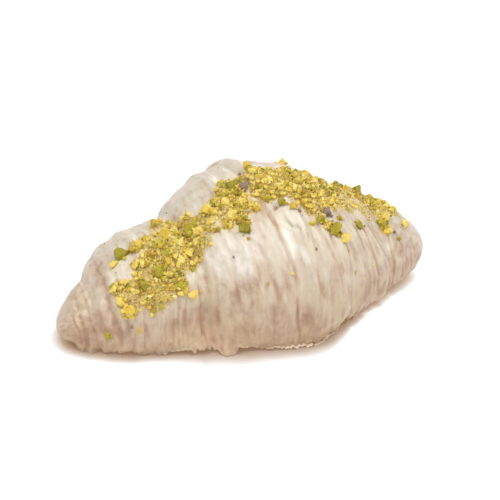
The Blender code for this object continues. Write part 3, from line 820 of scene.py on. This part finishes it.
def make_coat(material):
    """The icing: its outside down to the lip, and the lip turned in against the crust."""
    places = lengthwise_places(COAT_RINGS, HALF_LENGTH)
    turns = np.linspace(-SKIRT_TURN, math.pi + SKIRT_TURN, COAT_COLUMNS)
    along, around = np.meshgrid(places, turns, indexing="ij")
    outside, traits = coat_surface(along, around)
    crust_along = along * (HALF_LENGTH - ICING) / HALF_LENGTH
    crust = croissant_surface(crust_along, around, ICING)
    front = turned_in(outside[:, 0], crust[:, LIP_TUCK])
    back = turned_in(outside[:, -1], crust[:, -1 - LIP_TUCK])
    points = np.concatenate([np.stack(front[::-1], axis=1), outside,
                             np.stack(back, axis=1)], axis=1)
    mesh = grid_mesh("icing_coat", points)
    for name, values in traits.items():
        margins = ((0, 0), (len(front), len(back)))
        add_attribute(mesh, name, np.pad(values, margins, mode="edge"))
    weld(mesh)
    coat = new_piece("icing_coat", mesh, material)
    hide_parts("icing")


# ---------------------------------------------------------------- the crust
def make_crust(material):
    """The baked dough, whose layers show as fine steps under the icing's lip."""
    inset = ICING + GAP
    places = lengthwise_places(CRUST_RINGS, HALF_LENGTH - inset)
    turns = np.linspace(-math.pi / 2, 3 * math.pi / 2, CRUST_COLUMNS + 1)
    along, around = np.meshgrid(places, turns, indexing="ij")
    points = croissant_surface(along, around, inset)
    layers = noise_on(points, CRUST_LAYER_SIZES_MM)
    foot = np.maximum(-around, around - math.pi) > SKIRT_TURN
    points[..., 2] += np.where(foot, np.abs(layers), 0) * CRUST_RELIEF_MM * MM
    mesh = grid_mesh("crust", points)
    weld(mesh)
    crust = new_piece("crust", mesh, material)
    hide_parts("pastry")


# ---------------------------------------------------------------- the nuts
def place_of(row):
    """Along in metres and around in radians of a heap or a piece."""
    return row.along * MM, math.radians(row.around)


def heap_thickness(points, reach=NUT_REACH):
    """How thickly the nuts lie at points of the surface, from 0 to 1."""
    bare = np.ones(points.shape[:-1])
    wobble = HEAP_WOBBLE * noise_on(points, HEAP_WOBBLE_SIZE_MM, shift=70)
    centres = croissant_surface(*np.array([place_of(heap) for heap in HEAPS]).T)
    for heap, centre in zip(HEAPS, centres):
        away = np.linalg.norm(points - centre, axis=-1) / (heap.radius * MM)
        bare *= 1 - heap.thickness * (1 - smooth_step(away + wobble, HEAP_FLAT, reach))
    return 1 - bare


def clump_height(points, thickness):
    """How far the nuts' clumps stand out of the heaps and lie deeper between them, in mm."""
    return CLUMP_HEIGHT_MM * thickness * noise_on(points, CLUMP_SIZE_MM, shift=60)


def place_in_heap(draw, heaps):
    heap = draw.choices(heaps, weights=[heap.radius ** 2 for heap in heaps])[0]
    away = heap.radius * MM * HEAP_CORE * math.sqrt(draw.random())
    bearing = draw.uniform(0, 2 * math.pi)
    around = math.radians(heap.around) + away * math.sin(bearing) / MEAN_RADIUS
    return heap.along * MM + away * math.cos(bearing), around


def fused_nut_places():
    """Places of the nuts fused to the solid icing, but for the pieces set one by one."""
    draw = random.Random(NUT_SEED)
    heaps = [heap for heap in HEAPS
             if heap.thickness >= THICK_HEAP and heap.radius >= WIDE_HEAP_MM]
    wanted = [(*place_of(piece), piece.radius * MM) for pieces in PIECES.values()
              for piece in pieces if piece.radius >= LARGE_PIECE_MM]
    set_by_hand = len(wanted)
    for _ in range(NUT_TRIES):
        wanted.append((*place_in_heap(draw, heaps), draw.uniform(*NUT_RADIUS)))
    spots = croissant_surface(*np.array(wanted)[:, :2].T)
    placed = []
    for number, ((along, around, radius), spot) in enumerate(zip(wanted, spots)):
        apart = [np.linalg.norm(spot - other) > NUT_SPACING * (radius + size)
                 for _, _, size, other, _ in placed]
        if len(placed) < NUT_COUNT and all(apart):
            placed.append((along, around, radius, spot, number))
    return [place[:3] for place in placed if place[4] >= set_by_hand]


def chunk(draw, divisions):
    """A chopped piece of about unit radius: a lump with a few flat cuts across it."""
    ball = bmesh.new()
    if divisions:
        bmesh.ops.create_icosphere(ball, subdivisions=divisions, radius=1)
    else:
        bmesh.ops.create_uvsphere(ball, u_segments=4, v_segments=2, radius=1)
    points = np.array([vert.co[:] for vert in ball.verts])
    faces = np.array([[vert.index for vert in face.verts] for face in ball.faces])
    ball.free()
    for _ in range(CHUNK_CUTS):
        normal = np.array([draw.gauss(0, 1) for _ in range(3)])
        normal /= np.linalg.norm(normal)
        beyond = np.maximum(points @ normal - draw.uniform(*CUT_DISTANCE), 0)
        points -= beyond[:, None] * normal
    points *= 1 + CHUNK_ROUGHNESS * np.array([draw.gauss(0, 1) for _ in points])[:, None]
    points = points * (1, draw.uniform(*CHUNK_WIDTH), draw.uniform(*CHUNK_HEIGHT))
    return points / np.linalg.norm(points, axis=-1).mean(), faces


def turned(draw):
    """A random rotation matrix."""
    quaternion = np.array([draw.gauss(0, 1) for _ in range(4)])
    w, x, y, z = quaternion / np.linalg.norm(quaternion)
    return np.array([
        [1 - 2 * (y * y + z * z), 2 * (x * y - z * w), 2 * (x * z + y * w)],
        [2 * (x * y + z * w), 1 - 2 * (x * x + z * z), 2 * (y * z - x * w)],
        [2 * (x * z - y * w), 2 * (y * z + x * w), 1 - 2 * (x * x + y * y)],
    ])


def joined_chunks(name, places, divisions, seed, material):
    """One mesh of many chopped pieces.  A place is along, around, radius and lift."""
    draw = random.Random(seed)
    shapes = [chunk(draw, divisions) for _ in range(CHUNK_SHAPES)]
    along, around, radius, lift = np.array(places).T
    spots = croissant_surface(along, around)
    outwards = outward_directions(along, around)
    clump_tones = MEAN_TONE + TONE_SPREAD * noise_on(spots, CLUMP_SIZE_MM, shift=33)
    points = []
    faces = []
    tones = []
    count = 0
    for spot, out, size, height, tone in zip(spots, outwards, radius, lift, clump_tones):
        shape, corners = draw.choice(shapes)
        sunk = min(CHUNK_SINKING * size, NUT_SINK)
        centre = spot + out * (size * CHUNK_STANDING - sunk + height)
        points.append(shape @ turned(draw).T * size + centre)
        faces.append(corners + count)
        own_tone = tone + TONE_SPREAD * draw.uniform(-1, 1)
        tones.append(np.full(len(shape), min(max(own_tone, 0), 1)))
        count += len(shape)
    mesh = bpy.data.meshes.new(name)
    mesh.from_pydata(np.concatenate(points).tolist(), [], np.concatenate(faces).tolist())
    add_attribute(mesh, "tone", np.concatenate(tones))
    new_piece(name, mesh, material)


def strewn_places(kind):
    """Places drawn so that more pieces fall where the nuts lie thicker."""
    draw = random.Random(kind.seed)
    tries = kind.count * TRIES_PER_NUT
    along = np.array([draw.uniform(*STREWN_ALONG_MM) for _ in range(tries)]) * MM
    around = np.radians([draw.uniform(*STREWN_AROUND) for _ in range(tries)])
    area = section_radius(along, around, 0) / WIDEST_RADIUS
    points = croissant_surface(along, around)
    thickness = heap_thickness(points)
    clumps = clump_height(points, thickness)
    widest = kind.largest - kind.smallest
    places = []
    for place, turn, thick, share, clump in zip(along, around, thickness, area, clumps):
        chance = share * max(thick ** kind.closeness, kind.stray)
        if len(places) < kind.count and draw.random() < chance:
            size = kind.smallest + widest * draw.random() ** kind.smallness
            lift = draw.random() ** 2 * PILE_MM * thick ** 2
            places.append((place, turn, size * MM, (lift + clump) * MM))
    return places


def satellites(piece, draw):
    """Smaller pieces that lie against a large one."""
    across = piece.radius * SATELLITE_DISTANCE
    turn = math.degrees(across / CREST_RADIUS_MM)
    places = []
    for _ in range(SATELLITES):
        along = (piece.along + draw.gauss(0, SATELLITE_SPREAD) * across) * MM
        around = math.radians(piece.around + draw.gauss(0, SATELLITE_SPREAD) * turn)
        size = piece.radius * draw.uniform(*SATELLITE_SHARE) * MM
        lift = draw.uniform(0, SATELLITE_LIFT) * piece.radius * MM
        places.append((along, around, size, lift))
    return places


def make_nuts(materials):
    """The nuts fused to the solid, the pieces set one by one, and the strewn ones."""
    draw = random.Random(SATELLITE_SEED)
    large = {"golden": [], "green": [], "skin": []}
    for number, place in enumerate(fused_nut_places()):
        tint = "green" if number % GREEN_EVERY == 0 else "golden"
        large[tint].append((*place, 0))
    for kind, tint in ((GOLDEN, "golden"), (GREEN, "green"), (SKIN, "skin")):
        strewn = strewn_places(kind)
        for piece in PIECES[tint]:
            large[tint].append((*place_of(piece), piece.radius * MM, 0))
            strewn.extend(satellites(piece, draw))
        joined_chunks(kind.name + "_large", large[tint], LARGE_DIVISIONS,
                      kind.seed + LARGE_SEED_STEP, materials[tint])
        joined_chunks(kind.name, strewn, SMALL_DIVISIONS, kind.seed + SMALL_SEED_STEP,
                      materials[tint])
    joined_chunks(MEAL.name, strewn_places(MEAL), MEAL_DIVISIONS, MEAL.seed + SMALL_SEED_STEP,
                  materials["meal"])


# ---------------------------------------------------------------- materials
def set_inputs(node, inputs):
    """Sets inputs to values or hex codes, or links them from sockets or first outputs."""
    for name, value in inputs.items():
        if isinstance(value, str):
            value = color(value)
        if isinstance(value, bpy.types.Node):
            value = value.outputs[0]
        if isinstance(value, bpy.types.NodeSocket):
            node.id_data.links.new(value, node.inputs[name])
        else:
            node.inputs[name].default_value = value


def add(tree, kind, inputs=None, **settings):
    """A shader node with its settings, and its inputs set or linked."""
    node = tree.nodes.new("ShaderNode" + kind)
    for name, value in settings.items():
        setattr(node, name, value)
    set_inputs(node, inputs or {})
    return node


def fill_ramp(node, stops):
    """Sets a colour ramp's stops, as pairs of position and colour."""
    elements = node.color_ramp.elements
    while len(elements) < len(stops):
        elements.new(0.5)
    for element, (position, shade) in zip(elements, stops):
        element.position = position
        element.color = shade
    return node


def new_material(name):
    material = bpy.data.materials.new(name)
    material.use_nodes = True
    shader = material.node_tree.nodes["Principled BSDF"]
    return material, material.node_tree, shader


def icing_thickness_and_shade(tree, traits, unrolled, blotch):
    """How thin and how thick the icing lies, partly as painted shade and painted highlights.

    Streaks 1.8 mm wide and 7 mm long run round the croissant, over the blotches.
    """
    streak_place = add(tree, "Mapping", {"Vector": unrolled, "Scale": (0.55, 0.14, 1)})
    streak = add(tree, "TexNoise", {"Vector": streak_place, "Scale": 1.0, "Detail": 3.0,
                 "Roughness": 0.5, "Distortion": 0.3})
    both = add(tree, "Math", {0: streak, 1: blotch}, operation="ADD")
    placed = add(tree, "Math", {0: traits["thin_and_shade"], 1: 0.42, 2: both}, operation="MULTIPLY_ADD")
    lowered = add(tree, "Math", {0: traits["low"], 1: 0.12, 2: placed},
                  operation="MULTIPLY_ADD")
    thin_and_shade = add(tree, "MapRange", {"Value": lowered, "From Min": 0.95, "From Max": 1.68},
               interpolation_type="SMOOTHSTEP")
    thick = add(tree, "MapRange", {"Value": lowered, "From Min": 1.0, "From Max": 0.5,
                "To Max": 0.9}, interpolation_type="SMOOTHSTEP")
    return thin_and_shade, thick


def icing_tone(tree, traits, place, thin_and_shade, thick):
    """The icing's colour, which drifts from yellowish to a greyer cream over 10 mm."""
    drift = add(tree, "TexNoise", {"Vector": place, "Scale": 100.0, "Detail": 2.0})
    drifted = add(tree, "MapRange", {"Value": drift, "From Min": 0.38, "From Max": 0.62})
    # Lower down the cream turns browner and darker, partly for the crust showing through and
    # partly as painted shade
    upper, lower = [add(tree, "MixRGB", {"Fac": drifted, "Color1": warm, "Color2": grey})
                    for warm, grey in (("E0D5BF", "DED1C0"), ("D7BC9A", "D5B89B"))]
    tone = add(tree, "MixRGB", {"Fac": traits["low"], "Color1": upper, "Color2": lower})
    rim = add(tree, "Math", {0: traits["rim"], 1: 0.55}, operation="MULTIPLY")
    # Milky where it lies thick and rosy where the crust shows through, partly painted highlights
    # and painted shade.  The lip is greyed with painted shade for the table's dark gap under it,
    # but where it stands out, its edge gets a painted highlight.
    for share, code in ((thick, "F7EFE6"), (thin_and_shade, "B79176"), (rim, "A3907C"),
                        (traits["lit"], "F8E6D2")):
        tone = add(tree, "MixRGB", {"Fac": share, "Color1": tone, "Color2": code})
    return tone


def under_dust(tree, traits, place, toned):
    """The icing's colour under the nuts' dust, in specks of 0.6 mm."""
    speckle = add(tree, "TexNoise", {"Vector": place, "Scale": 1600.0, "Detail": 2.0})
    dusty = add(tree, "Math", {0: traits["dust"], 1: speckle}, operation="MULTIPLY")
    share = add(tree, "MapRange", {"Value": dusty, "From Min": 0.03, "From Max": 0.34,
                "To Max": 0.95})
    meal = add(tree, "MixRGB", {"Fac": speckle, "Color1": "D4AD4C", "Color2": "F4DE96"})
    return add(tree, "MixRGB", {"Fac": share, "Color1": toned, "Color2": meal})


def icing_grain(tree, place, unrolled):
    """The grain of set fat, of 0.5 mm, over fine streaks 0.6 mm wide and 2 mm long."""
    grain = add(tree, "TexNoise", {"Vector": place, "Scale": 2200.0, "Detail": 3.0})
    streak_place = add(tree, "Mapping", {"Vector": unrolled, "Scale": (1.6, 0.5, 1)})
    streak = add(tree, "TexNoise", {"Vector": streak_place, "Scale": 1.0, "Detail": 2.0})
    height = add(tree, "Math", {0: streak, 1: 2.0, 2: grain}, operation="MULTIPLY_ADD")
    return add(tree, "Bump", {"Height": height, "Strength": 0.35, "Distance": 0.00012})


def white_chocolate():
    """White chocolate icing, poured and set: a satin, faintly see-through cream.

    The eye sees warm white where it lies thick, and beige and rosy streaks round the
    croissant where the crust shows through it, more so lower down.  Part of this is painted
    shade, in creases, lower down, on the left horn and under the lip, and part is painted
    highlights, in milky patches and on the lip's edge.
    """
    material, tree, shader = new_material("white_chocolate_icing")
    place = add(tree, "TexCoord").outputs["Object"]
    traits = {name: add(tree, "Attribute", attribute_name=name).outputs["Fac"]
              for name in ("thin_and_shade", "low", "rim", "lit", "dust", "flow", "wound")}
    # Places in mm along the croissant, following the ridges' lean, and round it
    unrolled = add(tree, "CombineXYZ", {"X": traits["flow"], "Y": traits["wound"]})
    # Blotches of 8 mm
    blotch = add(tree, "TexNoise", {"Vector": place, "Scale": 125.0, "Detail": 5.0,
                 "Roughness": 0.62})
    thin_and_shade, thick = icing_thickness_and_shade(tree, traits, unrolled, blotch)
    toned = icing_tone(tree, traits, place, thin_and_shade, thick)
    gloss = add(tree, "MapRange", {"Value": blotch, "From Min": 0.3, "From Max": 0.7,
                "To Min": 0.30, "To Max": 0.48})
    set_inputs(shader, {
        "Base Color": under_dust(tree, traits, place, toned),
        "Roughness": gloss,
        "Normal": icing_grain(tree, place, unrolled),
        "IOR": 1.46,
        "Subsurface Weight": 0.2,
        "Subsurface Radius": (1.0, 0.7, 0.45),
        "Subsurface Scale": 0.0015,
    })
    return material


def baked_crust():
    """Browned laminated dough: a dull, dry skin."""
    material, tree, shader = new_material("baked_crust")
    place = add(tree, "TexCoord").outputs["Object"]
    # Blister marks of about 4 mm over layers 1.5 mm apart
    blister = add(tree, "TexNoise", {"Vector": place, "Scale": 240.0, "Detail": 5.0,
                  "Roughness": 0.6})
    layer_place = add(tree, "Mapping", {"Vector": place, "Scale": (90, 650, 650)})
    layer = add(tree, "TexNoise", {"Vector": layer_place, "Scale": 1.0, "Detail": 3.0})
    both = add(tree, "Math", {0: blister, 1: layer}, operation="ADD")
    mean = add(tree, "Math", {0: both, 1: 0.5}, operation="MULTIPLY")
    browned = fill_ramp(add(tree, "ValToRGB", {"Fac": mean}), (
        (0.32, color("7A4A22")), (0.50, color("A9703A")), (0.68, color("D2A465"))))
    bump = add(tree, "Bump", {"Height": both, "Strength": 0.6, "Distance": 0.0004})
    set_inputs(shader, {"Base Color": browned, "Normal": bump, "Roughness": 0.62,
                        "IOR": 1.45})
    return material


def chopped_nut(name, stops, mottle):
    """Chopped pistachio: waxy, with each piece a shade of its own and a mottled cut."""
    material, tree, shader = new_material(name)
    place = add(tree, "TexCoord").outputs["Object"]
    tone = add(tree, "Attribute", attribute_name="tone").outputs["Fac"]
    # Mottles of about 0.8 mm
    mottles = add(tree, "TexNoise", {"Vector": place, "Scale": 1300.0, "Detail": 3.0})
    shifted = add(tree, "Math", {0: mottles, 1: mottle, 2: tone}, operation="MULTIPLY_ADD")
    centred = add(tree, "Math", {0: shifted, 1: mottle / 2}, operation="SUBTRACT")
    set_inputs(shader, {
        "Base Color": fill_ramp(add(tree, "ValToRGB", {"Fac": centred}), stops),
        "Normal": add(tree, "Bump", {"Height": mottles, "Strength": 0.4, "Distance": 0.0002}),
        "Roughness": 0.6,
        "IOR": 1.47,
        "Subsurface Weight": 0.4,
        "Subsurface Radius": (1.0, 0.85, 0.25),
        "Subsurface Scale": 0.001,
    })
    return material


def make_materials():
    """The materials by piece.  A nut's stops run from its dark pieces to its pale ones."""
    golden = ((0.0, "B89430"), (0.3, "E2C14C"), (0.7, "F3DA76"), (1.0, "F6E296"))
    green = ((0.0, "8D8222"), (0.4, "AC9E2A"), (0.75, "C7B638"), (1.0, "DFCD58"))
    skin = ((0.0, "7A6252"), (0.5, "9C8272"), (1.0, "B79E8C"))
    # Some of the meal's grains are of green kernel, which is its last stop.
    meal = ((0.0, "AE873A"), (0.3, "E5C35E"), (0.7, "FDEFB8"), (1.0, "BDAD40"))
    materials = {"icing": white_chocolate(), "crust": baked_crust()}
    for tint, name, shades, mottle in (
            ("golden", "pistachio_kernel", golden, 0.5),
            ("green", "pistachio_green_kernel", green, 0.5),
            ("skin", "pistachio_skin", skin, 0.6),
            ("meal", "pistachio_meal", meal, 0.3)):
        stops = [(position, color(code)) for position, code in shades]
        materials[tint] = chopped_nut(name, stops, mottle)
    return materials


# ---------------------------------------------------------------- stage
def shadow_along(tree, share, values):
    """The values at the places of SHADES, over the share of the croissant's length."""
    stops = [(0.5 + shade.along * MM / HALF_LENGTH / 2, (value, value, value, 1))
             for shade, value in zip(SHADES, values)]
    return fill_ramp(add(tree, "ValToRGB", {"Fac": share}), stops)


def white_paper():
    """Paper that glows, standing in for paper lit from below on a light table.

    A narrow brown shadow is painted into its glow where the croissant stands close over it.
    """
    material, tree, shader = new_material("white_paper")
    place = add(tree, "TexCoord").outputs["Object"]
    along = add(tree, "SeparateXYZ", {"Vector": place}).outputs["X"]
    share = add(tree, "MapRange", {"Value": along, "From Min": -HALF_LENGTH,
                "From Max": HALF_LENGTH})
    farthest = max(shade.reach for shade in SHADES)
    depth = shadow_along(tree, share, [shade.depth for shade in SHADES])
    reach = shadow_along(tree, share, [shade.reach / farthest for shade in SHADES])
    distance = add(tree, "Math", {0: reach, 1: farthest * MM}, operation="MULTIPLY")
    near = add(tree, "AmbientOcclusion", {"Distance": distance}, samples=16)
    openness = add(tree, "MixRGB", {"Fac": depth, "Color1": WHITE, "Color2": near})
    shadow = fill_ramp(add(tree, "ValToRGB", {"Fac": openness}), SHADOW)
    set_inputs(shader, {"Base Color": PAPER, "Roughness": 0.9,
                        "Emission Color": shadow, "Emission Strength": GLOW_STRENGTH})
    return material


def make_floor():
    mesh = bpy.data.meshes.new("table")
    size = TABLE_SIZE / 2
    corners = [(-size, -size, 0), (size, -size, 0), (size, size, 0), (-size, size, 0)]
    mesh.from_pydata(corners, [], [(0, 1, 2, 3)])
    mesh.materials.append(white_paper())
    floor = new_object("table", mesh)


def place_round(bearing, height, distance):
    """A place at a bearing and a height over the table, both in radians."""
    flat = math.cos(height)
    direction = (math.sin(bearing) * flat, -math.cos(bearing) * flat, math.sin(height))
    return Vector(direction) * distance


def add_lamp(lamp):
    light = bpy.data.lights.new(lamp.name, "AREA")
    light.shape = "DISK"
    light.size = LAMP_SIZE
    light.energy = lamp.power
    place = place_round(math.radians(lamp.bearing), math.radians(lamp.height), LAMP_DISTANCE)
    holder = new_object(lamp.name, light)
    holder.location = place
    holder.rotation_euler = (AIM - place).to_track_quat("-Z", "Y").to_euler()


def make_light():
    world = bpy.data.worlds.new("studio")
    bpy.context.scene.world = world
    world.use_nodes = True
    tree = world.node_tree
    direction = add(tree, "TexCoord").outputs["Generated"]
    height = add(tree, "SeparateXYZ", {"Vector": direction}).outputs["Z"]
    (low, bright), (high, dim) = SKY
    glow = add(tree, "MapRange", {"Value": height, "From Min": low, "From Max": high,
               "To Min": bright, "To Max": dim}, interpolation_type="SMOOTHSTEP")
    set_inputs(tree.nodes["Background"], {"Color": WHITE, "Strength": glow})
    for lamp in LAMPS:
        add_lamp(lamp)
    bpy.context.scene.view_settings.view_transform = "Standard"


def make_camera():
    away = place_round(CAMERA_AZIMUTH, CAMERA_ELEVATION, CAMERA_DISTANCE)
    lens = bpy.data.cameras.new("camera")
    lens.lens = CAMERA_LENS_MM
    lens.clip_start = 0.01
    camera = new_object("camera", lens)
    camera.location = AIM + away
    camera.rotation_euler = (-away).to_track_quat("-Z", "Y").to_euler()
    bpy.context.scene.camera = camera


def main():
    materials = make_materials()
    make_coat(materials["icing"])
    make_crust(materials["crust"])
    make_nuts(materials)
    make_floor()
    make_light()
    make_camera()


main()
